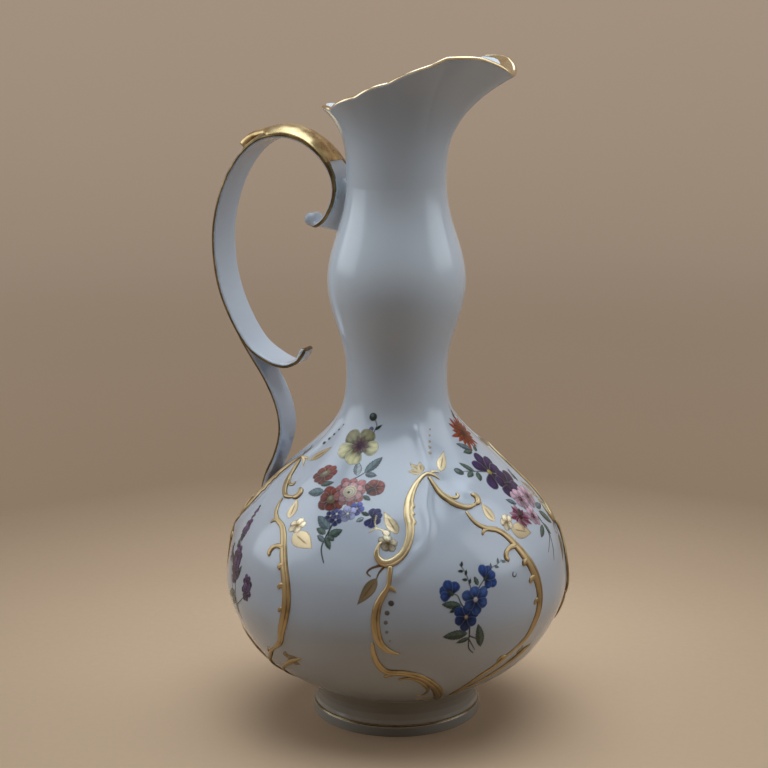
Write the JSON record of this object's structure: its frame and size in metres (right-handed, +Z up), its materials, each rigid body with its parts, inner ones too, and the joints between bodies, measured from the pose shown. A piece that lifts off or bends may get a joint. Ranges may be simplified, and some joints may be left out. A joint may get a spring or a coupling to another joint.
{
  "type": "ewer",
  "caption": "Porcelain ewer: round belly on a foot ring, baluster neck, scalloped pouring lip, scroll handle and gilded relief cartouches with painted flower sprays.",
  "frame": {"origin": "centre of the foot, on the table", "axes": "+Z up along the axis of the belly, +X towards the spout, -X towards the handle, -Y the side that faces the camera in the picture"},
  "size_m": [0.177, 0.1654, 0.3163],
  "materials": {
    "porcelain": "glossy white glaze with painted enamel flowers",
    "gilding": "burnished gold film fired on glazed porcelain"
  },
  "bodies": {
    "root": {"foot_ring": "porcelain", "belly": "porcelain", "neck": "porcelain", "spout_lip": "porcelain", "handle_scroll": "porcelain", "handle_leg": "porcelain", "handle_bracket": "porcelain", "thumb_leaf": "gilding", "right_front_crest": "gilding", "right_front_s_scroll": "gilding", "right_front_border": "gilding", "right_front_c_scroll": "gilding", "right_front_base": "gilding", "left_front_crest": "gilding", "left_front_s_scroll": "gilding", "left_front_border": "gilding", "left_front_c_scroll": "gilding", "left_front_base": "gilding", "left_rear_crest": "gilding", "left_rear_s_scroll": "gilding", "left_rear_border": "gilding", "left_rear_c_scroll": "gilding", "left_rear_base": "gilding", "right_rear_crest": "gilding", "right_rear_s_scroll": "gilding", "right_rear_border": "gilding", "right_rear_c_scroll": "gilding", "right_rear_base": "gilding"}
  },
  "joints": []
}
